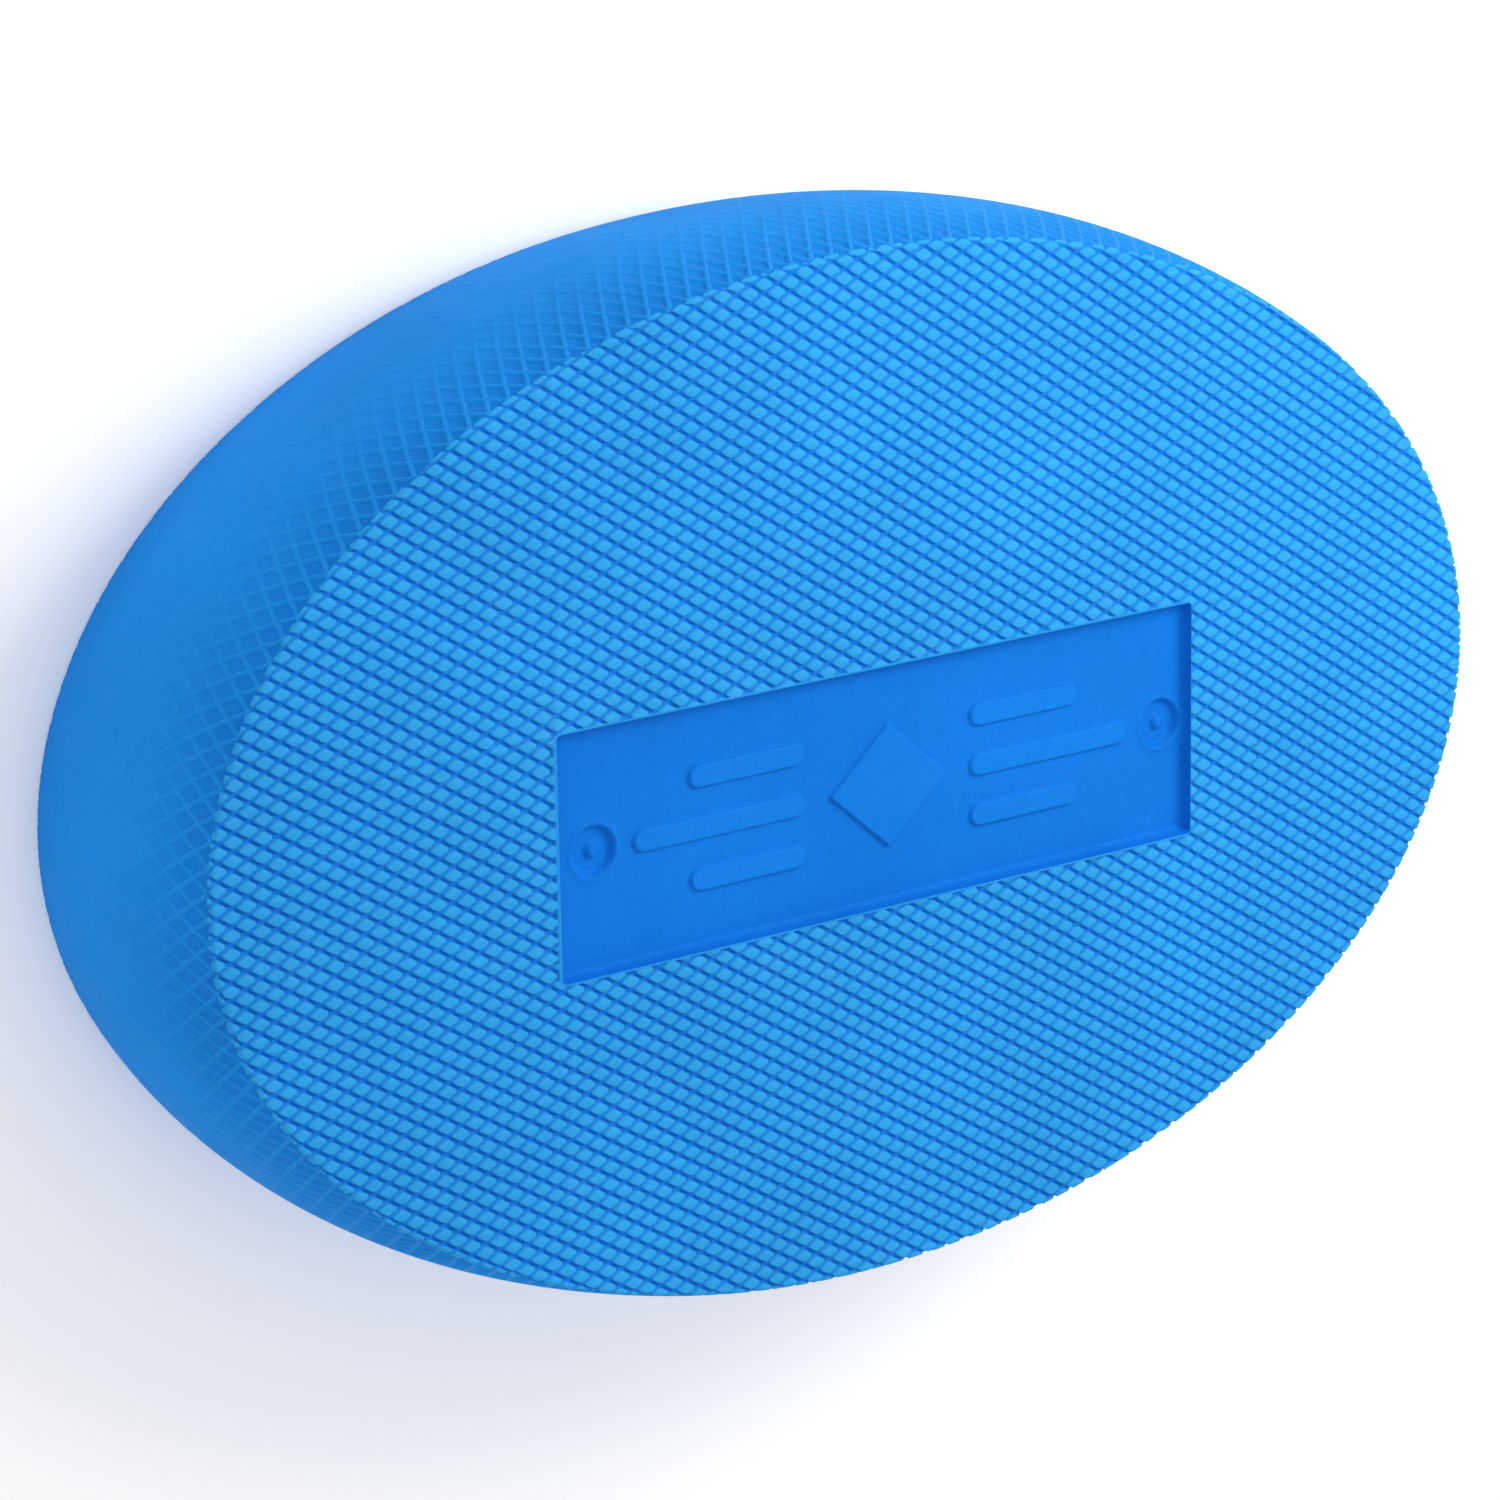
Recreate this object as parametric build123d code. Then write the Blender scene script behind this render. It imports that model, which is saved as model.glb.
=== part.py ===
from build123d import *
import os

# An oval balance pad of closed-cell foam, lying flat on its base. Millimetres.
# Origin: centre of the base, on the surface the pad rests on.
# +X runs along the pad's long axis, +Y along its short axis, +Z up through the upper tread.

# Driving dimensions
FACE_LENGTH = 320.0       # long axis of each oval face, rim to rim
FACE_WIDTH = 212.5        # short axis of each oval face
THICKNESS = 63.5          # base to upper face
WALL_BULGE = 5.0          # how far the wall stands out past the rims at mid height
SKIN = 3.0                # dense moulded skin around the foam core
RIM_RADIUS = 1.0          # rounding of the rim where each face meets the wall
RIM_LAP = 0.8             # depth of the tread skin's outer edge, above the wall skin
RECESS_LENGTH = 162.4     # smooth sunken panel in the upper face, along X
RECESS_WIDTH = 50.2       # along Y
RECESS_SHIFT_Y = -3.9     # the panel's centre sits slightly below the middle of the face
RECESS_CORNER = 2.0       # corner radius of the panel
RECESS_EDGE = 0.3         # rounding of the edge around the panel's opening
RECESS_SKIN = 2.0         # thickness of the skin under the panel
DIMPLE_SPACING = 146.0    # between the centres of the two screw-head dimples
DIMPLE_SHIFT_X = 1.8      # the point midway between them sits a little to the right
DIMPLE_SHIFT_Y = -0.4     # and below the panel's centre
DIMPLE_RADIUS = 5.0
DIMPLE_DEPTH = 0.8
PIP_RADIUS = 1.4          # raised pip in the middle of each dimple
PIP_HEIGHT = 0.5

# Worked out from the above
MID_HEIGHT = THICKNESS / 2
FACE_HALF_LENGTH = FACE_LENGTH / 2
FACE_HALF_WIDTH = FACE_WIDTH / 2
CORE_TOP = THICKNESS - SKIN
WALL_TOP = THICKNESS - RIM_LAP


def bulge_at(height):
    """How far the wall stands out past the rims at this height: a parabola, zero at both faces."""
    from_middle = (height - MID_HEIGHT) / MID_HEIGHT
    return WALL_BULGE * (1 - from_middle ** 2)


def oval_section(height, inset):
    """The pad's horizontal outline at this height, drawn in by the inset."""
    grow = bulge_at(height) - inset
    outline = Ellipse(FACE_HALF_LENGTH + grow, FACE_HALF_WIDTH + grow)
    return Pos(0, 0, height) * outline


def oval_slab(bottom, top, inset=0.0):
    """A slice of the bulging pad between two heights, lofted through its middle section."""
    heights = (bottom, (bottom + top) / 2, top)
    return loft(Sketch() + [oval_section(height, inset) for height in heights])


def recess_prism(bottom, top):
    """The rounded rectangle of the sunken panel, between two heights."""
    outline = RectangleRounded(RECESS_LENGTH, RECESS_WIDTH, RECESS_CORNER)
    return extrude(Pos(0, RECESS_SHIFT_Y, bottom) * outline, top - bottom)


def make_face_skin():
    """Skin of a whole face: its edge laps over the wall skin and is rounded at the rim."""
    edge_layer = oval_slab(WALL_TOP, THICKNESS)
    rim = edge_layer.edges().group_by(Axis.Z)[-1]
    return fillet(rim, RIM_RADIUS) + oval_slab(CORE_TOP, WALL_TOP, inset=SKIN)


def make_upper_tread_skin():
    """Skin of the upper face, open over the sunken panel."""
    skin = make_face_skin() - recess_prism(CORE_TOP, THICKNESS)
    top_face = skin.faces().sort_by(Axis.Z)[-1]
    return fillet(top_face.inner_wires()[0].edges(), RECESS_EDGE)


def make_base_tread_skin():
    """Skin of the lower face, which the pad rests on."""
    return mirror(make_face_skin(), about=Plane.XY.offset(MID_HEIGHT))


def make_upper_wall_skin():
    """Upper half of the wall skin: a bulging ring that ends at the seam at mid height."""
    return oval_slab(MID_HEIGHT, WALL_TOP) - oval_slab(MID_HEIGHT, WALL_TOP, inset=SKIN)


def make_lower_wall_skin():
    """Lower half of the wall skin, the upper half's mirror image."""
    return mirror(make_upper_wall_skin(), about=Plane.XY.offset(MID_HEIGHT))


def make_recess_panel():
    """Smooth skin that floors the sunken panel, with the dimples of two screw heads in it."""
    panel = recess_prism(CORE_TOP - RECESS_SKIN, CORE_TOP)
    dimple = Cylinder(DIMPLE_RADIUS, DIMPLE_DEPTH, align=(Align.CENTER, Align.CENTER, Align.MIN))
    pip = Cylinder(PIP_RADIUS, PIP_HEIGHT, align=(Align.CENTER, Align.CENTER, Align.MIN))
    for side in (-1, 1):
        x = DIMPLE_SHIFT_X + side * DIMPLE_SPACING / 2
        y = RECESS_SHIFT_Y + DIMPLE_SHIFT_Y
        panel -= Pos(x, y, CORE_TOP - DIMPLE_DEPTH) * (dimple - pip)
    return panel


def make_foam_core():
    """Cellular foam that fills the pad inside its skins."""
    upper = oval_slab(MID_HEIGHT, CORE_TOP, inset=SKIN)
    lower = mirror(upper, about=Plane.XY.offset(MID_HEIGHT))
    return upper + lower - recess_prism(CORE_TOP - RECESS_SKIN, CORE_TOP)


nodes = {
    "upper_tread_skin": make_upper_tread_skin(),
    "recess_panel": make_recess_panel(),
    "upper_wall_skin": make_upper_wall_skin(),
    "lower_wall_skin": make_lower_wall_skin(),
    "base_tread_skin": make_base_tread_skin(),
    "foam_core": make_foam_core(),
}

os.makedirs("parts", exist_ok=True)
for name, solid in nodes.items():
    export_step(solid, f"parts/{name}.step")
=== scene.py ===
import math
import bmesh
import bpy
import numpy as np
from mathutils import Matrix, Vector


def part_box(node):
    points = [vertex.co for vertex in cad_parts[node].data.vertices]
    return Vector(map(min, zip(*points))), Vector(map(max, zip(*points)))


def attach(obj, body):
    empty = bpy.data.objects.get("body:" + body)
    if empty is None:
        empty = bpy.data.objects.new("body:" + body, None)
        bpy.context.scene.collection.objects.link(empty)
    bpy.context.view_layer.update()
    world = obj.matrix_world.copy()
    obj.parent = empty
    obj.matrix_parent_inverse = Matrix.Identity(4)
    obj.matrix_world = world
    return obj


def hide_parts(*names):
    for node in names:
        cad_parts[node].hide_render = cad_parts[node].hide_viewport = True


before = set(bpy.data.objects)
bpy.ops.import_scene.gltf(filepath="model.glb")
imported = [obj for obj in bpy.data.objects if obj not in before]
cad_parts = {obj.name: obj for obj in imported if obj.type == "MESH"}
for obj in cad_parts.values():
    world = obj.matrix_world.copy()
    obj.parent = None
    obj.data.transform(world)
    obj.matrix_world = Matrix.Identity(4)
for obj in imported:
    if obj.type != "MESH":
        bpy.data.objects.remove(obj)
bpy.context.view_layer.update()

# An oval foam balance pad, in metres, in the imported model's frame.
# Every skin is made the same way. A flat pattern of polygons is laid out in cells, cut along the
# lines where the surface bends, wrapped on to the pad and closed behind.

MM = 0.001

# ---------------------------------------------------------------- sizes, from the frame
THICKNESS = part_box("upper_tread_skin")[1].z
WALL_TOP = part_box("upper_wall_skin")[1].z
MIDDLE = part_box("upper_wall_skin")[0].z
CORE_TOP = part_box("foam_core")[1].z
CORE_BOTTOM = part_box("foam_core")[0].z
SKIN = THICKNESS - CORE_TOP
WALL_BULGE = 5 * MM
HALF_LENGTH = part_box("upper_wall_skin")[1].x - WALL_BULGE
HALF_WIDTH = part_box("upper_wall_skin")[1].y - WALL_BULGE
PANEL_LOW, PANEL_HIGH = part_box("recess_panel")
PANEL_HALF_LENGTH = (PANEL_HIGH.x - PANEL_LOW.x) / 2
PANEL_HALF_WIDTH = (PANEL_HIGH.y - PANEL_LOW.y) / 2
PANEL_X = (PANEL_HIGH.x + PANEL_LOW.x) / 2
PANEL_Y = (PANEL_HIGH.y + PANEL_LOW.y) / 2

# ---------------------------------------------------------------- sizes of the moulded detail
# The rim is an arc from the flat face to the wall, which leans out from it.
WALL_LEAN = math.atan2(THICKNESS - MIDDLE, 2 * WALL_BULGE)
RIM_RADIUS = (THICKNESS - WALL_TOP) / (1 - math.cos(WALL_LEAN))
RIM_ARC = RIM_RADIUS * WALL_LEAN
RIM_INSET = RIM_RADIUS * math.tan(WALL_LEAN / 2)

TREAD_PITCH = 3.75 * MM           # along a row of pads
TREAD_ROWS = (-32.4, 24.7)        # directions of the two sets of grooves, in degrees from +X
GROOVE_DEPTH = 0.64 * MM          # less than the tread skin's edge is deep
CROSS_SHARE = 0.75                # share of that depth in the second set, between two crossings
GROOVE_DEPTH_LEFT = 0.85          # share of its depth that a groove keeps at the rim's lower end
OPENING_EDGE = 0.2 * MM           # rounding of the edge round the recess
LIP = 0.4 * MM                    # smooth strip between the last pads and the recess
LIP_SHIFT = 0.4 * MM              # it is this much wider on the left and narrower on the right
GROOVE_END = 0.25 * MM            # length over which a groove ends at the lip
LIP_TINT = 0.65                   # relief that colours the lip: pads have 0 and grooves have 1
RIM_STEPS = 4                     # flat strips round the rim's arc
OPENING_STEPS = 3                 # and round the recess's edge
CORNER_STEPS = 4                  # steps in which its corners are cut out of the pads, each way

NET_COLUMNS = 170                 # diamonds round the wall
NET_HEIGHT = 7.18 * MM            # height of one diamond
NET_DEPTH_AT_RIM = 0.48 * MM
NET_DEPTH_AT_SEAM = 0.08 * MM
NET_FADE_POWER = 1.1              # how the depth falls from the rim to the seam
SEAM_ROUNDING = 0.08 * MM         # depth of the fine line at mid height
SEAM_WIDTH = 0.3 * MM             # half its width

PANEL_CORNER = 1.0 * MM           # as it is seen, while the CAD's corners are rounded by 2 mm
RECESS_WALL_WIDTH = 2.2 * MM      # the recess's hollow wall, from its edge to its foot
RECESS_WALL_POWER = 5             # how steeply it rises
PLATE_CELL = 0.55 * MM            # square cells of the recess's plate
PLATE_GAP = 0.02 * MM             # between the plate and the tread round it
DIMPLE_SPACING = 146.0 * MM
DIMPLE_RADIUS = 5.4 * MM          # of the bowl that a screw head left
DIMPLE_DEPTH = 1.25 * MM
DIMPLE_SLOPE = 1.3 * MM           # width of the bowl's side
DIMPLE_LIP_RADIUS = 5.7 * MM      # soft raised ring round the bowl
DIMPLE_LIP_HEIGHT = 0.30 * MM
DIMPLE_LIP_WIDTH = 0.5 * MM
PIP_RADIUS = 2.0 * MM             # at the foot of the raised pip in the bowl
PIP_HEIGHT = 1.1 * MM
PIP_SLOPE = 1.2 * MM              # width of the pip's side
DIMPLE_CUTS = np.array([0.8, 1.4, 2.0, 4.1, 4.5, 4.95, 5.4]) * MM   # radii where the plate is cut
MARKS_X = 1.8 * MM                # middle of the dimples and of the raised marks
MARKS_Y = -4.3 * MM
LOZENGE_HALF_LENGTH = 15.0 * MM
LOZENGE_HALF_WIDTH = 13.0 * MM
BARS = ((-10.6 * MM, 47.5 * MM), (0, 61.2 * MM), (10.6 * MM, 47.5 * MM))   # place across, far end
BARS_START = 23.8 * MM            # how far from the middle the bars begin
BAR_RADIUS = 2.4 * MM
EMBOSS_HEIGHT = 0.8 * MM
EMBOSS_EDGE = 0.32 * MM           # half the width of the marks' rounded edge

PIT_DEPTH = 0.5 * MM              # roughness of the foam's outside

SNAP = 0.03 * MM                  # a corner this close to a cut counts as on it
WELD = 0.002 * MM                 # corners this close become one
ROUNDING_ERROR = 0.001 * MM


def smoothstep(value):
    """Rises softly from 0 to 1 as the value does."""
    value = np.clip(value, 0, 1)
    return value * value * (3 - 2 * value)


# ---------------------------------------------------------------- flat patterns of polygons
# A soup is (corners, sizes): the corners of every polygon in turn, one row each, and how many
# corners each polygon has. Neighbouring polygons are welded when the mesh is made.

def pad_ring(along, across, cut_acute, cut_blunt, end_share, side_share):
    """Corners of one ring of a unit cell: half its size both ways, how much of its acute and blunt
    corners is cut off, and the share of the relief at which its two ends and its two sides lie."""
    half = [
        (along, cut_blunt - across, end_share),
        (along, across - cut_acute, end_share),
        (along - cut_acute, across, side_share),
        (cut_blunt - along, across, side_share),
    ]
    turned = [(-x, -y, share) for x, y, share in half]
    return [(0.5 + x, 0.5 + y, share) for x, y, share in half + turned]


def cell_border(end_share, side_share):
    """Points round a unit cell. The middle of its ends lies at end_share, and the rest at side_share."""
    end = [(1, 0, side_share), (1, 0.25, end_share), (1, 0.75, end_share), (1, 1, side_share)]
    return end + [(1 - x, 1 - y, share) for x, y, share in end]


def cell_template(rings, border):
    """Polygons of one cell, from its middle out to its border."""
    inner = [pad_ring(*ring) for ring in rings]
    outer = cell_border(*border)
    count = len(outer)
    polygons = [inner[0]]
    for near, far in zip(inner, inner[1:]):
        for k in range(count):
            after = (k + 1) % count
            polygons.append([near[k], far[k], far[after], near[after]])
    for half in (0, count // 2):
        near = [inner[-1][(half + k) % count] for k in range(5)]
        far = [outer[(half + k) % count] for k in range(5)]
        polygons += [
            (near[0], far[0], far[1]),
            (near[0], far[1], far[2], near[1]),
            (near[1], far[2], far[3]),
            (near[1], far[3], near[2]),
            (near[2], far[3], far[4], near[3]),
            (near[3], far[4], near[4]),
        ]
    return [np.array(polygon, float) for polygon in polygons]


def repeat_in_cells(template, cells):
    """The template's polygons in every cell, as a soup with columns u, v and share."""
    corners = np.concatenate(template)
    everywhere = np.repeat(corners[None], len(cells), axis=0)
    everywhere[:, :, :2] += np.array(cells, float)[:, None, :]
    sizes = np.tile([len(polygon) for polygon in template], len(cells))
    return everywhere.reshape(-1, 3), sizes


def split_polygon(corners, value):
    """A convex polygon's parts below and above value 0. A corner at 0 belongs to both parts,
    unless its neighbours show that the part ends before it."""
    below, above = [], []
    for k in range(len(corners)):
        after = (k + 1) % len(corners)
        beside = value[k - 1], value[after]
        if value[k] < 0 or (value[k] == 0 and min(beside) < 0):
            below.append(corners[k])
        if value[k] > 0 or (value[k] == 0 and max(beside) >= 0):
            above.append(corners[k])
        if value[k] * value[after] < 0:
            share = value[k] / (value[k] - value[after])
            crossing = corners[k] + (corners[after] - corners[k]) * share
            below.append(crossing)
            above.append(crossing)
    return np.array(below), np.array(above)


def starts_of(sizes):
    """Row of each polygon's first corner."""
    return np.concatenate(([0], np.cumsum(sizes)[:-1]))


def cut(soup, column, levels):
    """Cuts every polygon along the lines where the column has one of these values."""
    for level in levels:
        corners, sizes = soup
        value = corners[:, column] - level
        value[np.abs(value) < SNAP] = 0
        starts = starts_of(sizes)
        crosses = (np.minimum.reduceat(value, starts) < 0) & (np.maximum.reduceat(value, starts) > 0)
        parts = [corners[np.repeat(~crosses, sizes)]]
        counts = list(sizes[~crosses])
        for k in np.flatnonzero(crosses):
            block = slice(starts[k], starts[k] + sizes[k])
            for part in split_polygon(corners[block], value[block]):
                parts.append(part)
                counts.append(len(part))
        soup = np.concatenate(parts), np.array(counts)
    return soup


def keep_below(soup, column, limit):
    """Drops the polygons that lie beyond the limit, and moves the last corners on to it."""
    corners, sizes = soup
    nearly = limit - 1.5 * SNAP
    starts = starts_of(sizes)
    mean = np.add.reduceat(corners[:, column], starts) / sizes
    lowest = np.minimum.reduceat(corners[:, column], starts)
    kept = (mean < limit) & (lowest < nearly)
    corners = corners[np.repeat(kept, sizes)]
    at_limit = corners[:, column] > nearly
    corners[at_limit, column] = limit
    return corners, sizes[kept]


def keep_above(soup, column, limit):
    """Drops the polygons that lie short of the limit, and moves the first corners on to it."""
    corners, sizes = soup
    turned = corners.copy()
    turned[:, column] *= -1
    corners, sizes = keep_below((turned, sizes), column, -limit)
    corners[:, column] *= -1
    return corners, sizes


# ---------------------------------------------------------------- the pad's outer form
def bulge_at(height):
    """How far the wall stands out past the rims: a parabola, zero at both faces."""
    return WALL_BULGE * (1 - ((height - MIDDLE) / MIDDLE) ** 2)


def on_oval(angle, grow, height):
    """Points of the pad's outline, grown by this much, at this height."""
    x = (HALF_LENGTH + grow) * np.cos(angle)
    y = (HALF_WIDTH + grow) * np.sin(angle)
    return np.stack([x, y, height + 0 * x], axis=1)


def oval_normal(angle):
    """Outward horizontal normals of the outline."""
    x = HALF_WIDTH * np.cos(angle)
    y = HALF_LENGTH * np.sin(angle)
    length = np.hypot(x, y)
    return np.stack([x / length, y / length, 0 * x], axis=1)


NEWTON_STEPS = 8
NEAR_RIM = 6 * MM                 # further inside than this, a rough distance will do


def nearest_on_oval(x, y, grow):
    """Angle of the outline's nearest point, by Newton's method, for points close to it."""
    a, b = HALF_LENGTH + grow, HALF_WIDTH + grow
    angle = np.arctan2(a * y, b * x)
    for _ in range(NEWTON_STEPS):
        cos, sin = np.cos(angle), np.sin(angle)
        slope = (b * b - a * a) * sin * cos + a * x * sin - b * y * cos
        change = (b * b - a * a) * (cos * cos - sin * sin) + a * x * cos + b * y * sin
        angle = angle - slope / change
    return angle


def rim_distance(x, y):
    """Distance outwards from the edge of the flat face, exact only near that edge."""
    grow = -RIM_INSET
    a, b = HALF_LENGTH + grow, HALF_WIDTH + grow
    distance = (np.hypot(x / a, y / b) - 1) * b
    near = distance > -NEAR_RIM
    angle = nearest_on_oval(x[near], y[near], grow)
    foot = on_oval(angle, grow, 0)
    outward = oval_normal(angle)
    distance[near] = (x[near] - foot[:, 0]) * outward[:, 0] + (y[near] - foot[:, 1]) * outward[:, 1]
    return distance


def from_corner(x, y):
    """How far past the centres of the recess's rounded corners, both ways."""
    across = np.abs(x - PANEL_X) - (PANEL_HALF_LENGTH - PANEL_CORNER)
    up = np.abs(y - PANEL_Y) - (PANEL_HALF_WIDTH - PANEL_CORNER)
    return across, up


def opening_distance(x, y):
    """Distance outwards from the outline of the recess."""
    across, up = from_corner(x, y)
    outside = np.hypot(np.maximum(across, 0), np.maximum(up, 0))
    return outside + np.minimum(np.maximum(across, up), 0) - PANEL_CORNER


def opening_normal(x, y):
    """Outward directions from the recess's outline, for points close to it."""
    across, up = from_corner(x, y)
    in_corner = (across > 0) & (up > 0)
    direction_x = np.where(in_corner, across, across > up) * np.sign(x - PANEL_X)
    direction_y = np.where(in_corner, up, across <= up) * np.sign(y - PANEL_Y)
    length = np.maximum(np.hypot(direction_x, direction_y), ROUNDING_ERROR)
    return direction_x / length, direction_y / length


def lip_distance(x, y):
    """Distance outwards from the smooth lip round the recess."""
    return opening_distance(x + LIP_SHIFT, y) - LIP


# ---------------------------------------------------------------- from a soup to a closed piece
def start_mesh(points, sizes, plane, relief):
    """A welded bmesh of the soup. plane is each corner's place on the UV map."""
    starts = starts_of(sizes)
    faces = [tuple(range(start, start + size)) for start, size in zip(starts, sizes)]
    mesh = bpy.data.meshes.new("pattern")
    mesh.from_pydata(points.tolist(), [], faces)
    mesh.attributes.new("relief", "FLOAT", "POINT").data.foreach_set("value", relief.astype(np.float32))
    uv = mesh.uv_layers.new(name="OFBake")
    order = np.zeros(len(mesh.loops), np.int32)
    mesh.loops.foreach_get("vertex_index", order)
    uv.data.foreach_set("uv", plane[order].astype(np.float32).ravel())
    net = bmesh.new()
    net.from_mesh(mesh)
    bpy.data.meshes.remove(mesh)
    bmesh.ops.remove_doubles(net, verts=net.verts, dist=WELD)
    return net


def open_edges(net, test):
    """Edges with one face whose middle passes the test."""
    return [e for e in net.edges if e.is_boundary and test((e.verts[0].co + e.verts[1].co) / 2)]


def extrude_to(net, edges, place, plane, sharp=True):
    """Adds a strip of faces from these edges to where place puts their corners.
    plane gives a corner's place on the UV map. Returns the strip's far edges."""
    for edge in edges:
        edge.smooth = not sharp
    made = bmesh.ops.extrude_edge_only(net, edges=edges)["geom"]
    far_edges = [g for g in made if isinstance(g, bmesh.types.BMEdge) and g.is_boundary]
    faces = [g for g in made if isinstance(g, bmesh.types.BMFace)]
    corners = [g for g in made if isinstance(g, bmesh.types.BMVert)]
    for corner in corners:
        corner.co = place(corner.co)
    uv = net.loops.layers.uv.active
    for face in faces:
        for loop in face.loops:
            loop[uv].uv = plane(loop.vert.co)
    return far_edges


def fill_between(net, edges, plane):
    """Closes a flat area inside these edges, which may have a hole."""
    made = bmesh.ops.triangle_fill(net, edges=edges, use_beauty=True, use_dissolve=False)["geom"]
    uv = net.loops.layers.uv.active
    for edge in edges:
        edge.smooth = False
    for face in made:
        if isinstance(face, bmesh.types.BMFace):
            for loop in face.loops:
                loop[uv].uv = plane(loop.vert.co)


def finish_piece(net, name, material, node):
    """Turns the bmesh into an object that stands for a CAD node."""
    bmesh.ops.recalc_face_normals(net, faces=net.faces)
    for face in net.faces:
        face.smooth = True
    mesh = bpy.data.meshes.new(name)
    net.to_mesh(mesh)
    net.free()
    piece = bpy.data.objects.new(name, mesh)
    bpy.context.scene.collection.objects.link(piece)
    weighted = piece.modifiers.new("flat faces stay flat", "WEIGHTED_NORMAL")
    weighted.keep_sharp = True
    weighted.weight = 50
    mesh.materials.append(material)
    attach(piece, "root")
    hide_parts(node)
    return piece


# ---------------------------------------------------------------- treads
# Columns of a tread's soup: the place on the flattened face, the share of the groove's depth, and
# the distances past the rim's start, into the recess and into its lip.
X, Y, SHARE, PAST_RIM, INTO_RECESS, INTO_LIP = range(6)


def tread_axes():
    """The two directions of a tread row, as the columns of a matrix."""
    directions = [math.radians(angle) for angle in TREAD_ROWS]
    return TREAD_PITCH * np.array([[math.cos(d) for d in directions], [math.sin(d) for d in directions]])


def tread_cells():
    """Every lattice cell that touches the face."""
    lean = 1.5                    # the rows run askew, so it takes more cells than straight ones
    reach = int(HALF_LENGTH / TREAD_PITCH * lean)
    span = np.arange(-reach, reach)
    cells = np.stack(np.meshgrid(span, span), axis=-1).reshape(-1, 2)
    middles = (cells + 0.5) @ tread_axes().T
    room = 2 * TREAD_PITCH
    inside = np.hypot(middles[:, 0] / (HALF_LENGTH + room), middles[:, 1] / (HALF_WIDTH + room)) < 1
    return cells[inside]


def corner_lines(middle, half_size):
    """Where to cut the pads so that the corners of the recess and of its lip come out round."""
    turns = np.linspace(0, math.pi / 2, CORNER_STEPS + 1)
    reach = half_size - PANEL_CORNER + (PANEL_CORNER + LIP) * np.sin(turns)
    return [*(middle - reach), *(middle + reach)]


def tread_soup(template, with_opening):
    """The tread's pads, cut where the face bends down at the rim."""
    corners, sizes = repeat_in_cells(template, tread_cells())
    plane = corners[:, :2] @ tread_axes().T
    soup = np.column_stack([plane, corners[:, 2]]), sizes
    if with_opening:
        soup = cut(soup, X, corner_lines(PANEL_X, PANEL_HALF_LENGTH))
        soup = cut(soup, Y, corner_lines(PANEL_Y, PANEL_HALF_WIDTH))
    corners, sizes = soup
    x, y = corners[:, X], corners[:, Y]
    distances = [rim_distance(x, y), -opening_distance(x, y), -lip_distance(x, y)]
    soup = np.column_stack([corners, *distances]), sizes
    soup = cut(soup, PAST_RIM, np.linspace(0, RIM_ARC, RIM_STEPS + 1))
    return keep_below(soup, PAST_RIM, RIM_ARC)


def wrap_tread(corners, with_opening):
    """Places the tread's corners on the upper face, its rounded rim and the recess's edge.
    Returns the places and each corner's relief, which colours it: painted shade that deepens the grooves'
    colour, and the lip's own colour."""
    x, y, share, rim, opening, lip = corners.T
    turn = np.clip(rim / RIM_RADIUS, 0, WALL_LEAN)
    fade = 1 - (1 - GROOVE_DEPTH_LEFT) * (turn / WALL_LEAN) ** 2
    points = np.column_stack([x, y, THICKNESS + 0 * x])
    inward = np.zeros_like(points)
    inward[:, 2] = -1
    over = rim > ROUNDING_ERROR
    angle = nearest_on_oval(x[over], y[over], -RIM_INSET)
    grow = -RIM_INSET + RIM_RADIUS * np.sin(turn[over])
    points[over] = on_oval(angle, grow, THICKNESS - RIM_RADIUS * (1 - np.cos(turn[over])))
    # Grooves sink straight down on the face, and level at the rim's lower end, on the wall skin.
    quarter = turn[over] / WALL_LEAN * math.pi / 2
    inward[over] = -oval_normal(angle) * np.sin(quarter)[:, None]
    inward[over, 2] = -np.cos(quarter)
    tint = np.zeros_like(share)
    if with_opening:
        past = np.maximum(opening + OPENING_EDGE, 0)
        beside = smoothstep(-lip / GROOVE_END)
        fade = fade * beside
        tint = LIP_TINT * (1 - beside)
        bend = np.clip(past / OPENING_EDGE, 0, math.pi / 2)
        out_x, out_y = opening_normal(x, y)
        back = OPENING_EDGE * np.sin(bend) - past
        points[:, 0] -= out_x * back
        points[:, 1] -= out_y * back
        points[:, 2] -= OPENING_EDGE * (1 - np.cos(bend))
    # The relief is painted shade in the grooves' colour as well as their depth; the tint is the smooth
    # lip's own colour.
    relief = share * fade
    return points + inward * (GROOVE_DEPTH * relief)[:, None], relief + tint


UV_SCALE = 0.99 / (2 * (HALF_LENGTH + RIM_ARC))
UV_TOP_CENTRE = (0.5, 0.34)
HIDDEN_SCALE = 0.45               # the hidden side's size on the map, next to the face's
HIDDEN_CENTRE = (0.24, 0.84)
HIDDEN_SHRINK = 2                 # per metre from mid height, so that no two levels coincide
FOOT_SHARE = 0.8                  # width of the recess's wall on the map, next to its height


def face_uv(corner):
    """Place of a corner of the face on its UV map."""
    return UV_TOP_CENTRE[0] + corner[0] * UV_SCALE, UV_TOP_CENTRE[1] + corner[1] * UV_SCALE


def hidden_uv(corner):
    """Place of a corner on the piece's hidden side, which gets a small part of the map."""
    scale = UV_SCALE * HIDDEN_SCALE * (1 - HIDDEN_SHRINK * abs(corner[2] - MIDDLE))
    return HIDDEN_CENTRE[0] + corner[0] * scale, HIDDEN_CENTRE[1] + corner[1] * scale


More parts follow.
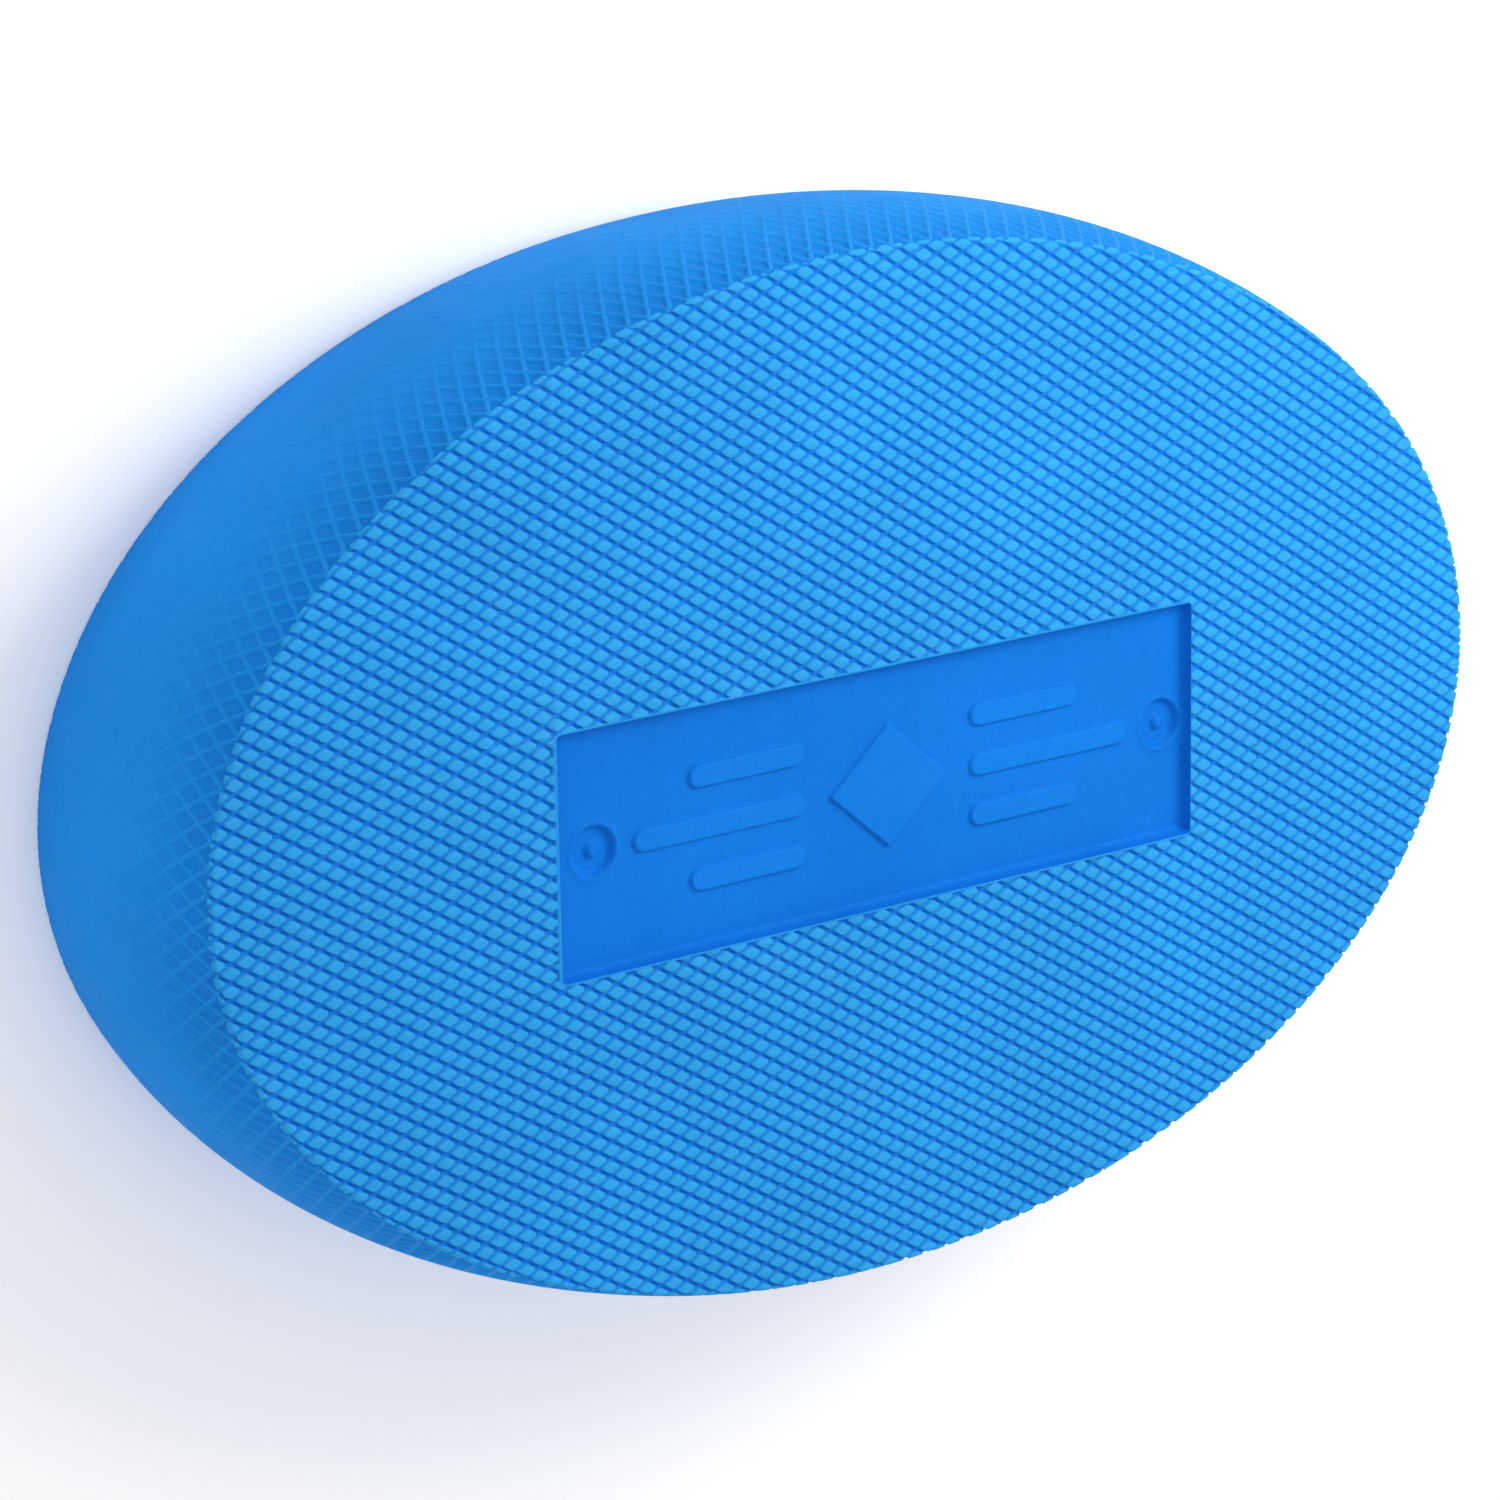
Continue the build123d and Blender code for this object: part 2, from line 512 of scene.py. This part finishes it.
def drawn_in(corner, height, inset):
    """The same place on the outline at another height, drawn in by the inset."""
    grow_here = bulge_at(corner.z)
    angle = math.atan2(corner.y / (HALF_WIDTH + grow_here), corner.x / (HALF_LENGTH + grow_here))
    return Vector(on_oval(np.array([angle]), bulge_at(height) - inset, height)[0])


def make_tread(name, node, material, with_opening, rings):
    """A face skin: the pads, the rim, the edge of the recess, and a plain back."""
    soup = tread_soup(cell_template(rings, (CROSS_SHARE, 1)), with_opening)
    if with_opening:
        arc_end = OPENING_EDGE * (math.pi / 2 - 1)
        soup = cut(soup, INTO_RECESS, np.linspace(-OPENING_EDGE, arc_end, OPENING_STEPS + 1))
        soup = keep_below(soup, INTO_RECESS, arc_end)
        soup = cut(soup, INTO_LIP, [-GROOVE_END, 0])
    corners, sizes = soup
    points, relief = wrap_tread(corners, with_opening)
    plane = np.column_stack(face_uv((corners[:, X], corners[:, Y])))
    net = start_mesh(points, sizes, plane, relief)

    def at_rim(middle):
        nearly_out = 0.95
        return math.hypot(middle.x / HALF_LENGTH, middle.y / HALF_WIDTH) > nearly_out

    rim = open_edges(net, at_rim)
    ledge = extrude_to(net, rim, lambda c: drawn_in(c, WALL_TOP, SKIN), hidden_uv)
    back = extrude_to(net, ledge, lambda c: drawn_in(c, CORE_TOP, SKIN), hidden_uv)
    if with_opening:
        edge = open_edges(net, lambda middle: not at_rim(middle) and middle.z > CORE_TOP + MM)

        def foot_uv(corner):
            out_x, out_y = opening_normal(np.array([corner.x]), np.array([corner.y]))
            drop = FOOT_SHARE * (THICKNESS - corner.z)
            return face_uv((corner.x - out_x[0] * drop, corner.y - out_y[0] * drop))

        back += extrude_to(net, edge, lambda c: Vector((c.x, c.y, CORE_TOP)), foot_uv, sharp=False)
    fill_between(net, back, hidden_uv)
    if not with_opening:
        bmesh.ops.transform(net, matrix=Matrix.Scale(-1, 4, (0, 0, 1)), verts=net.verts)
        bmesh.ops.translate(net, vec=(0, 0, THICKNESS), verts=net.verts)
    return finish_piece(net, name, material, node)


# ---------------------------------------------------------------- walls
def arc_table():
    """Angles round the rim's oval and the arc length up to each."""
    angles = np.linspace(0, 2 * math.pi, 4001)
    points = on_oval(angles, 0, 0)
    steps = np.linalg.norm(np.diff(points, axis=0), axis=1)
    return angles, np.concatenate(([0], np.cumsum(steps)))


ARC_ANGLES, ARC_LENGTHS = arc_table()
PERIMETER = ARC_LENGTHS[-1]
HEIGHT = 1                        # column of the wall's soup, between arc length and share
WALL_STRIPS = 5                   # strips in which the wall's UV map is stacked
STRIPS_SHARE = 0.92               # of the map's height, and the wall's inside takes the rest
STRIP_MARGINS = (0.02, 0.05)      # at each strip's ends and at its sides
INNER_MARGIN = 0.01
INNER_START = 0.94
INNER_HEIGHT = 0.05


def wall_soup(template, low, high):
    """The net's diamonds between two heights, with columns arc length, height and share."""
    width = PERIMETER / NET_COLUMNS
    first = math.floor((low - WALL_TOP) / NET_HEIGHT * 2) - 2
    last = math.ceil((high - WALL_TOP) / NET_HEIGHT * 2) + 2
    cells = []
    for total in range(2 * NET_COLUMNS):
        for row in range(first, last):
            if (total + row) % 2 == 0:
                cells.append(((total + row) / 2, (total - row) / 2))
    corners, sizes = repeat_in_cells(template, cells)
    along = (corners[:, 0] + corners[:, 1]) * width / 2
    height = WALL_TOP + (corners[:, 0] - corners[:, 1]) * NET_HEIGHT / 2
    return np.column_stack([along, height, corners[:, 2]]), sizes


def wall_uv(along, height, low, high, strip):
    """Place on the wall's UV map, which stacks the wall in strips."""
    ends, sides = STRIP_MARGINS
    u = ends + (1 - 2 * ends) * (along / PERIMETER * WALL_STRIPS - strip)
    v = strip + sides + (1 - 2 * sides) * (height - low) / (high - low)
    return np.column_stack([u, v * STRIPS_SHARE / WALL_STRIPS])


def net_depth(height):
    """Depth of the net's diamonds: most at the upper rim, very little from the seam down."""
    share = np.clip((height - MIDDLE) / (WALL_TOP - MIDDLE), 0, 1)
    return NET_DEPTH_AT_SEAM + (NET_DEPTH_AT_RIM - NET_DEPTH_AT_SEAM) * share ** NET_FADE_POWER


def make_wall(name, node, material, low, high, rings):
    """Half of the wall's skin: the net on its outside, and a plain inside."""
    soup = wall_soup(cell_template(rings, (0, 0)), low, high)
    soup = cut(soup, HEIGHT, sorted([low, high, MIDDLE - SEAM_WIDTH, MIDDLE + SEAM_WIDTH]))
    corners, sizes = keep_above(keep_below(soup, HEIGHT, high), HEIGHT, low)
    along, height, relief = corners.T
    angle = np.interp(along % PERIMETER, ARC_LENGTHS, ARC_ANGLES)
    seam = np.clip(1 - np.abs(height - MIDDLE) / SEAM_WIDTH, 0, 1)
    grow = bulge_at(height) - net_depth(height) * relief - SEAM_ROUNDING * seam
    points = on_oval(angle, grow, height)
    # Painted shade: the diamonds' hollows take the deeper colour, most near the rim where they are
    # deepest.
    tint = relief * net_depth(height) / NET_DEPTH_AT_RIM
    middles = np.add.reduceat(along, starts_of(sizes)) / sizes
    strip = np.floor(np.repeat(middles, sizes) / PERIMETER * WALL_STRIPS)
    plane = wall_uv(along, height, low, high, strip)
    net = start_mesh(points, sizes, plane, tint)

    def inner_uv(corner):
        turn = math.atan2(corner.y, corner.x) / (2 * math.pi) + 0.5
        up = (corner.z - low) / (high - low)
        return INNER_MARGIN + (1 - 2 * INNER_MARGIN) * turn, INNER_START + INNER_HEIGHT * up

    middle_height = (low + high) / 2
    top = open_edges(net, lambda middle: middle.z > middle_height)
    bottom = open_edges(net, lambda middle: middle.z < middle_height)
    top_inner = extrude_to(net, top, lambda c: drawn_in(c, high, SKIN), inner_uv)
    bottom_inner = extrude_to(net, bottom, lambda c: drawn_in(c, low, SKIN), inner_uv)
    for edge in top_inner + bottom_inner:
        edge.smooth = False
    made = bmesh.ops.bridge_loops(net, edges=top_inner + bottom_inner)
    uv = net.loops.layers.uv.active
    for face in made["faces"]:
        for loop in face.loops:
            loop[uv].uv = inner_uv(loop.vert.co)
    return finish_piece(net, name, material, node)


# ---------------------------------------------------------------- recess panel
def capsule(x, y, start, end, radius):
    """Distance outwards from a rounded bar."""
    along_x, along_y = end[0] - start[0], end[1] - start[1]
    length = along_x ** 2 + along_y ** 2
    share = np.clip(((x - start[0]) * along_x + (y - start[1]) * along_y) / length, 0, 1)
    return np.hypot(x - start[0] - share * along_x, y - start[1] - share * along_y) - radius


def lozenge(x, y):
    """Distance outwards from the sides of a lozenge."""
    a, b = LOZENGE_HALF_LENGTH, LOZENGE_HALF_WIDTH
    return (np.abs(x) * b + np.abs(y) * a - a * b) / math.hypot(a, b)


def raised_marks(x, y):
    """Distance outwards from the raised marks: a lozenge between plain rounded bars."""
    x = np.abs(x - MARKS_X)
    y = y - MARKS_Y
    shape = lozenge(x, y)
    for across, reach in BARS:
        bar = capsule(x, y, (BARS_START, across), (reach, across), BAR_RADIUS)
        shape = np.minimum(shape, bar)
    return shape


def dimple_height(radius):
    """Height of a screw-head dimple: a soft raised lip, a bowl and a pip."""
    lip = DIMPLE_LIP_HEIGHT * np.exp(-((radius - DIMPLE_LIP_RADIUS) / DIMPLE_LIP_WIDTH) ** 2)
    bowl = -DIMPLE_DEPTH * smoothstep((DIMPLE_RADIUS - radius) / DIMPLE_SLOPE)
    pip = PIP_HEIGHT * smoothstep((PIP_RADIUS - radius) / PIP_SLOPE)
    return lip + bowl + pip


def recess_wall_height(inside):
    """Height of the recess's wall over its floor, this far inside its edge. It is steep at the top
    and hollow below."""
    top = THICKNESS - OPENING_EDGE - CORE_TOP
    return top * np.clip(1 - inside / RECESS_WALL_WIDTH, 0, 1) ** RECESS_WALL_POWER


# Columns of the plate's soup, after x and y: the distances beyond the recess's outline, outside
# the raised marks and from a dimple's middle.
BEYOND_OUTLINE, OUTSIDE_MARKS, FROM_DIMPLE = 2, 3, 4
PLATE_UV_SCALE = 0.96 / (2 * PANEL_HALF_LENGTH)
PLATE_UV_FRONT = (0.5, 0.17)      # middle of the plate's front on the map
PLATE_UV_BACK = (0.5, 0.5)        # and of its back
PLATE_UV_STRETCH = 10             # per metre of height: the rising wall takes room round the floor
PLATE_UV_SHRINK = 20              # per metre of height: the plate's sides lie within its back


def plate_soup():
    """The plate's cells, cut along its wall, its raised marks and its dimples."""
    count_x = math.ceil(PANEL_HALF_LENGTH / PLATE_CELL)
    count_y = math.ceil(PANEL_HALF_WIDTH / PLATE_CELL)
    cells = [(i, j) for i in range(-count_x, count_x) for j in range(-count_y, count_y)]
    square = [np.array([(0, 0, 0), (1, 0, 0), (1, 1, 0), (0, 1, 0)], float)]
    corners, sizes = repeat_in_cells(square, cells)
    x = PANEL_X + corners[:, 0] * PLATE_CELL
    y = PANEL_Y + corners[:, 1] * PLATE_CELL
    dimple = np.hypot(np.abs(x - MARKS_X) - DIMPLE_SPACING / 2, y - MARKS_Y)
    soup = np.column_stack([x, y, opening_distance(x, y), raised_marks(x, y), dimple]), sizes
    wall_cuts = RECESS_WALL_WIDTH * np.linspace(0, 1, 10) ** 1.5 + PLATE_GAP
    soup = cut(soup, BEYOND_OUTLINE, sorted(-wall_cuts))
    soup = keep_below(soup, BEYOND_OUTLINE, -PLATE_GAP)
    soup = cut(soup, OUTSIDE_MARKS, [-EMBOSS_EDGE, 0, EMBOSS_EDGE])
    return cut(soup, FROM_DIMPLE, DIMPLE_CUTS)


def make_recess_plate(name, node, material):
    """The smooth sunken panel: the recess's wall round its edge, raised marks and two dimples."""
    corners, sizes = plate_soup()
    x, y, beyond, mark, dimple = corners.T
    raised = smoothstep(0.5 - mark / (2 * EMBOSS_EDGE))
    wall = recess_wall_height(-PLATE_GAP - beyond)
    height = CORE_TOP + wall + EMBOSS_HEIGHT * raised + dimple_height(dimple)
    points = np.column_stack([x, y, height])
    spread = PLATE_UV_SCALE * (1 + PLATE_UV_STRETCH * wall)
    across = PLATE_UV_FRONT[0] + (x - PANEL_X) * spread
    up = PLATE_UV_FRONT[1] + (y - PANEL_Y) * spread
    net = start_mesh(points, sizes, np.column_stack([across, up]), raised)

    def back_uv(corner):
        spread = PLATE_UV_SCALE * (1 - PLATE_UV_SHRINK * (corner.z - PANEL_LOW.z))
        across = PLATE_UV_BACK[0] + (corner.x - PANEL_X) * spread
        return across, PLATE_UV_BACK[1] + (corner.y - PANEL_Y) * spread

    edges = open_edges(net, lambda middle: True)
    bottom = extrude_to(net, edges, lambda c: Vector((c.x, c.y, PANEL_LOW.z)), back_uv)
    fill_between(net, bottom, back_uv)
    return finish_piece(net, name, material, node)


# ---------------------------------------------------------------- foam inside
FOAM_ROWS = 24
FOAM_COLUMNS = 220
FOAM_UV_CENTRE = (0.25, 0.4)      # middle of the flat faces on the map
FOAM_UV_SCALE = 0.45 / (2 * HALF_LENGTH)
SIDE_UV_MARGIN = 0.01
SIDE_UV_START = 0.8
SIDE_UV_HEIGHT = 0.19


def add_foam_rings(net):
    """Adds the rough side of the foam, ring by ring from the bottom up. Returns the rings."""
    relief = net.verts.layers.float.new("relief")
    noise = np.random.default_rng(7)
    angles = np.linspace(0, 2 * math.pi, FOAM_COLUMNS, endpoint=False)
    rings = []
    for row in range(FOAM_ROWS + 1):
        height = CORE_BOTTOM + (CORE_TOP - CORE_BOTTOM) * row / FOAM_ROWS
        inner_row = 0 < row < FOAM_ROWS
        pits = noise.random(FOAM_COLUMNS) * PIT_DEPTH if inner_row else np.zeros(FOAM_COLUMNS)
        points = on_oval(angles, bulge_at(height) - SKIN - pits, height)
        ring = [net.verts.new(point) for point in points]
        for corner, pit in zip(ring, pits):
            corner[relief] = pit / PIT_DEPTH
        rings.append(ring)
    return rings


def add_foam_side(net, rings):
    """Joins the rings with faces, whose band lies above the flat faces on the UV map."""
    uv = net.loops.layers.uv.active
    for row in range(FOAM_ROWS):
        low, high = rings[row], rings[row + 1]
        for k in range(FOAM_COLUMNS):
            after = (k + 1) % FOAM_COLUMNS
            face = net.faces.new((low[k], low[after], high[after], high[k]))
            spots = ((k, row), (k + 1, row), (k + 1, row + 1), (k, row + 1))
            for loop, (across, up) in zip(face.loops, spots):
                u = SIDE_UV_MARGIN + (1 - 2 * SIDE_UV_MARGIN) * across / FOAM_COLUMNS
                loop[uv].uv = u, SIDE_UV_START + SIDE_UV_HEIGHT * up / FOAM_ROWS


def recess_outline():
    """Points round the recess, with round corners."""
    outline = []
    for quarter, (side_x, side_y) in enumerate(((1, 1), (-1, 1), (-1, -1), (1, -1))):
        centre_x = PANEL_X + side_x * (PANEL_HALF_LENGTH - PANEL_CORNER)
        centre_y = PANEL_Y + side_y * (PANEL_HALF_WIDTH - PANEL_CORNER)
        for turn in np.radians(90 * quarter + np.arange(0, 91, 15)):
            x = centre_x + PANEL_CORNER * math.cos(turn)
            y = centre_y + PANEL_CORNER * math.sin(turn)
            outline.append((x, y))
    return outline


def round_pairs(items):
    """Each item with the next one, and the last with the first."""
    return zip(items, items[1:] + items[:1])


def make_filling(name, node, material):
    """The cellular foam inside, with the pocket that the recess panel sits in."""
    net = bmesh.new()
    net.loops.layers.uv.new("OFBake")
    rings = add_foam_rings(net)
    add_foam_side(net, rings)

    def flat_uv(corner):
        across = FOAM_UV_CENTRE[0] + corner.x * FOAM_UV_SCALE
        return across, FOAM_UV_CENTRE[1] + corner.y * FOAM_UV_SCALE

    pocket = [net.verts.new((x, y, CORE_TOP)) for x, y in recess_outline()]
    pocket_edges = [net.edges.new(pair) for pair in round_pairs(pocket)]
    top_edges = [net.edges.get(pair) for pair in round_pairs(rings[-1])]
    bottom_edges = [net.edges.get(pair) for pair in round_pairs(rings[0])]
    fill_between(net, top_edges + pocket_edges, flat_uv)
    floor = extrude_to(net, pocket_edges, lambda c: Vector((c.x, c.y, PANEL_LOW.z)), flat_uv)
    fill_between(net, floor, flat_uv)
    fill_between(net, bottom_edges, flat_uv)
    return finish_piece(net, name, material, node)


# ---------------------------------------------------------------- materials
def srgb(red, green, blue):
    """A display colour from 0 to 255 as the linear colour that Blender's shaders take."""

    def linear(value):
        value = value / 255
        return value / 12.92 if value <= 0.04045 else ((value + 0.055) / 1.055) ** 2.4

    return linear(red), linear(green), linear(blue), 1


class Nodes:
    """Short ways to add and join shader nodes."""

    def __init__(self, material):
        material.use_nodes = True
        self.tree = material.node_tree
        self.shader = self.tree.nodes["Principled BSDF"]

    def add(self, kind, inputs=(), **settings):
        node = self.tree.nodes.new(kind)
        for name, value in settings.items():
            setattr(node, name, value)
        for name, value in dict(inputs).items():
            if isinstance(value, bpy.types.NodeSocket):
                self.tree.links.new(value, node.inputs[name])
            else:
                node.inputs[name].default_value = value
        return node

    def noise(self, place, scale, detail=3, roughness=0.5):
        inputs = {"Vector": place, "Scale": scale, "Detail": detail, "Roughness": roughness}
        return self.add("ShaderNodeTexNoise", inputs).outputs["Fac"]

    def remap(self, value, low, high, to_low, to_high):
        inputs = {"Value": value, "From Min": low, "From Max": high, "To Min": to_low, "To Max": to_high}
        return self.add("ShaderNodeMapRange", inputs).outputs["Result"]

    def mix(self, share, first, second, blend="MIX"):
        node = self.add("ShaderNodeMix", data_type="RGBA", blend_type=blend)
        for socket, value in ((0, share), (6, first), (7, second)):
            if isinstance(value, bpy.types.NodeSocket):
                self.tree.links.new(value, node.inputs[socket])
            else:
                node.inputs[socket].default_value = value
        return node.outputs[2]

    def set(self, name, value):
        if isinstance(value, bpy.types.NodeSocket):
            self.tree.links.new(value, self.shader.inputs[name])
        else:
            self.shader.inputs[name].default_value = value


def foam_material(name, colour, deep_colour, roughness, grain=1.0, scuffs=0.0):
    """Moulded closed-cell foam: soft tone changes, a fine skin grain, and a deeper colour mixed in by the
    relief attribute, which is painted shade in the tread's grooves and the wall's hollows.
    """
    material = bpy.data.materials.new(name)
    nodes = Nodes(material)
    place = nodes.add("ShaderNodeTexCoord").outputs["Object"]
    relief = nodes.add("ShaderNodeAttribute", attribute_name="relief").outputs["Fac"]
    tone = nodes.remap(nodes.noise(place, 22, 4), 0.3, 0.7, 0.93, 1.06)
    speckle = nodes.remap(nodes.noise(place, 900, 2), 0.3, 0.7, 0.96, 1.04)
    shade = nodes.add("ShaderNodeMath", {0: tone, 1: speckle}, operation="MULTIPLY").outputs[0]
    # Painted shade: the deeper colour goes where the relief is high, in the tread's grooves and the wall's
    # hollows; on the plate it colours the raised marks.
    base = nodes.mix(nodes.remap(relief, 0.4, 1.0, 0, 1), colour, deep_colour)
    grey = nodes.add("ShaderNodeCombineColor", {0: shade, 1: shade, 2: shade}).outputs[0]
    toned = nodes.mix(1.0, base, grey, "MULTIPLY")
    if scuffs:
        rubbed = nodes.remap(nodes.noise(place, 60, 6, 0.7), 0.55, 0.75, 0, scuffs)
        pale = srgb(120, 195, 240)
        toned = nodes.mix(rubbed, toned, pale)
    nodes.set("Base Color", toned)
    rough = nodes.remap(nodes.noise(place, 140, 4), 0.3, 0.7, roughness - 0.06, roughness + 0.08)
    nodes.set("Roughness", rough)
    nodes.set("Specular IOR Level", 0.04)
    fine = nodes.noise(place, 1500, 3, 0.6)
    coarse = nodes.noise(place, 320, 3)
    height = nodes.add("ShaderNodeMath", {0: fine, 1: coarse}, operation="ADD").outputs[0]
    bump = nodes.add("ShaderNodeBump", {"Height": height, "Strength": 0.25 * grain, "Distance": 0.15 * MM})
    nodes.set("Normal", bump.outputs["Normal"])
    return material


def cell_foam_material(name, colour, deep_colour):
    """Cut foam with its small closed cells showing."""
    material = bpy.data.materials.new(name)
    nodes = Nodes(material)
    place = nodes.add("ShaderNodeTexCoord").outputs["Object"]
    cells = nodes.add("ShaderNodeTexVoronoi", {"Vector": place, "Scale": 900}).outputs["Distance"]
    walls = nodes.remap(cells, 0.1, 0.6, 0, 1)
    tone = nodes.remap(nodes.noise(place, 30, 4), 0.3, 0.7, 0, 0.3)
    nodes.set("Base Color", nodes.mix(tone, nodes.mix(walls, deep_colour, colour), deep_colour))
    nodes.set("Roughness", nodes.remap(cells, 0, 0.7, 0.7, 0.95))
    bump = nodes.add("ShaderNodeBump", {"Height": cells, "Strength": 0.6, "Distance": 0.3 * MM})
    nodes.set("Normal", bump.outputs["Normal"])
    return material


# ---------------------------------------------------------------- the pad
# Rings of one cell from the middle out: see pad_ring.
PAD_RINGS = [(0.340, 0.340, 0.165, 0.09, 0, 0), (0.405, 0.415, 0.165, 0.09, CROSS_SHARE, 1)]
BASE_RINGS = [(0.360, 0.355, 0.165, 0.09, 0, 0)]
NET_RINGS = [(0.345, 0.345, 0.06, 0.06, 1, 1), (0.440, 0.440, 0.05, 0.05, 0, 0)]

tread_foam = foam_material("tread_foam", srgb(45, 152, 222), srgb(14, 110, 206), 0.65, scuffs=0.05)
wall_foam = foam_material("wall_foam", srgb(25, 135, 221), srgb(18, 120, 210), 0.65)
smooth_foam = foam_material("smooth_foam", srgb(13, 112, 210), srgb(15, 116, 214), 0.6, grain=1.3)
core_foam = cell_foam_material("core_foam", srgb(70, 170, 235), srgb(20, 100, 190))

make_tread("upper_tread", "upper_tread_skin", tread_foam, True, PAD_RINGS)
make_tread("base_tread", "base_tread_skin", tread_foam, False, BASE_RINGS)
make_recess_plate("recess_plate", "recess_panel", smooth_foam)
make_wall("upper_wall", "upper_wall_skin", wall_foam, MIDDLE, WALL_TOP, NET_RINGS)
make_wall("lower_wall", "lower_wall_skin", wall_foam, THICKNESS - WALL_TOP, MIDDLE, NET_RINGS)
make_filling("foam_filling", "foam_core", core_foam)


# ---------------------------------------------------------------- floor, light and camera
def make_floor():
    """A plain pale floor under the pad, which glows a little so that it stays near white."""
    mesh = bpy.data.meshes.new("floor")
    reach = 6.0
    corners = [(-reach, -reach, 0), (reach, -reach, 0), (reach, reach, 0), (-reach, reach, 0)]
    mesh.from_pydata(corners, [], [(0, 1, 2, 3)])
    floor = bpy.data.objects.new("floor", mesh)
    bpy.context.scene.collection.objects.link(floor)
    material = bpy.data.materials.new("floor_paint")
    nodes = Nodes(material)
    place = nodes.add("ShaderNodeTexCoord").outputs["Object"]
    patches = nodes.remap(nodes.noise(place, 3), 0.3, 0.7, 0, 1)
    nodes.set("Base Color", nodes.mix(patches, (0.90, 0.90, 0.90, 1), (0.92, 0.92, 0.92, 1)))
    nodes.set("Roughness", 0.9)
    nodes.set("Specular IOR Level", 0.1)
    nodes.set("Emission Color", (1, 1, 1, 1))
    nodes.set("Emission Strength", 0.16)
    mesh.materials.append(material)


def aim(thing, place, target, roll=0.0):
    """Puts a light or camera in place, looking at the target and turned about its line of sight."""
    thing.location = place
    look = Vector(target) - Vector(place)
    turned = look.to_track_quat("-Z", "Y").to_matrix() @ Matrix.Rotation(roll, 3, "Z")
    thing.rotation_euler = turned.to_euler()


def add_light(name, place, size, power, colour):
    """A square soft light that looks at the pad."""
    light = bpy.data.lights.new(name, "AREA")
    light.size = size
    light.energy = power
    light.color = colour
    lamp = bpy.data.objects.new(name, light)
    bpy.context.scene.collection.objects.link(lamp)
    aim(lamp, place, (0, 0, MIDDLE))


def add_camera():
    """The camera, whose picture is turned on its side against the floor."""
    camera = bpy.data.cameras.new("camera")
    camera.lens = 130.6
    camera.sensor_width = 36
    camera.clip_start = 0.05
    holder = bpy.data.objects.new("camera", camera)
    bpy.context.scene.collection.objects.link(holder)
    aim(holder, (-0.6557, 0.2968, 0.8904), (-0.0349, 0.0102, THICKNESS), math.radians(108.6))
    bpy.context.scene.camera = holder


make_floor()
add_light("key", (0.22, 0.23, 0.38), 0.25, 1.53, (1, 0.98, 0.87))
add_camera()
world = bpy.data.worlds.new("studio")
world.use_nodes = True
world.node_tree.nodes["Background"].inputs["Color"].default_value = (1, 1, 1, 1)
world.node_tree.nodes["Background"].inputs["Strength"].default_value = 0.80
bpy.context.scene.world = world
bpy.context.scene.view_settings.view_transform = "Standard"
